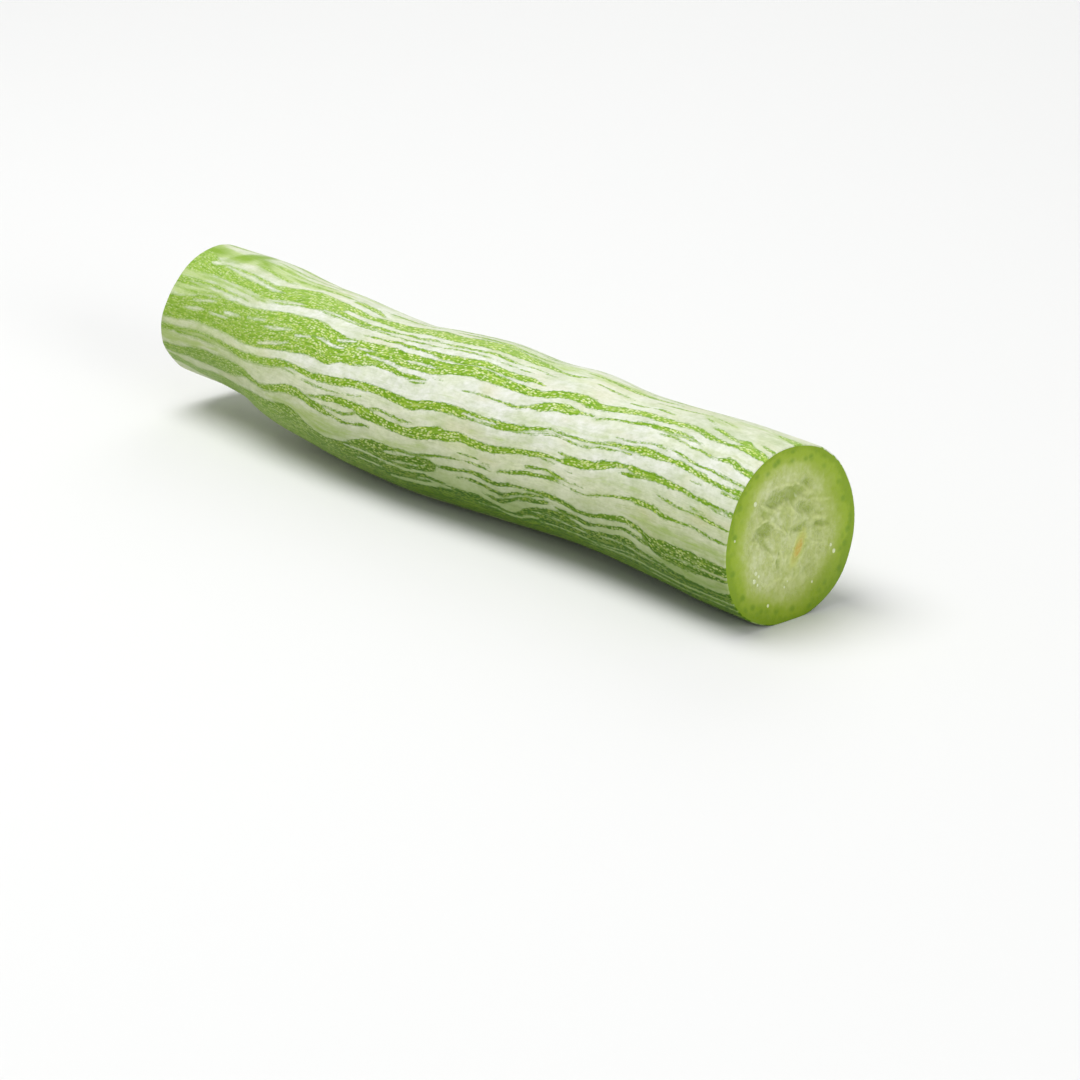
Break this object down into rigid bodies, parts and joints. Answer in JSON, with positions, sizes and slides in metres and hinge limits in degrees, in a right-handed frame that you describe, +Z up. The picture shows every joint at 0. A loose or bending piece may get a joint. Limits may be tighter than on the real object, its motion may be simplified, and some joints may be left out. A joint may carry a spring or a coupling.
{
  "type": "snake gourd",
  "caption": "Cut length of snake gourd lying on its side: gently bent, pale green skin with darker wavy stripes, flat cut ends showing green rind, spongy pulp and cut seeds.",
  "frame": {"origin": "on the surface that the gourd rests on, under the middle of its bounding box", "axes": "+X along the gourd towards its wider cut end, +Z up, +Y to the left when looking along +X"},
  "size_m": [0.2638, 0.053, 0.053],
  "materials": {
    "gourd": "satin waxy skin, pale silvery green with darker green stripes; moist pale green cut faces",
    "seed": "moist orange-yellow seed, cut through"
  },
  "bodies": {
    "root": {"gourd": "gourd", "seed_near_1": "seed", "seed_far_1": "seed", "seed_far_2": "seed"}
  },
  "joints": []
}
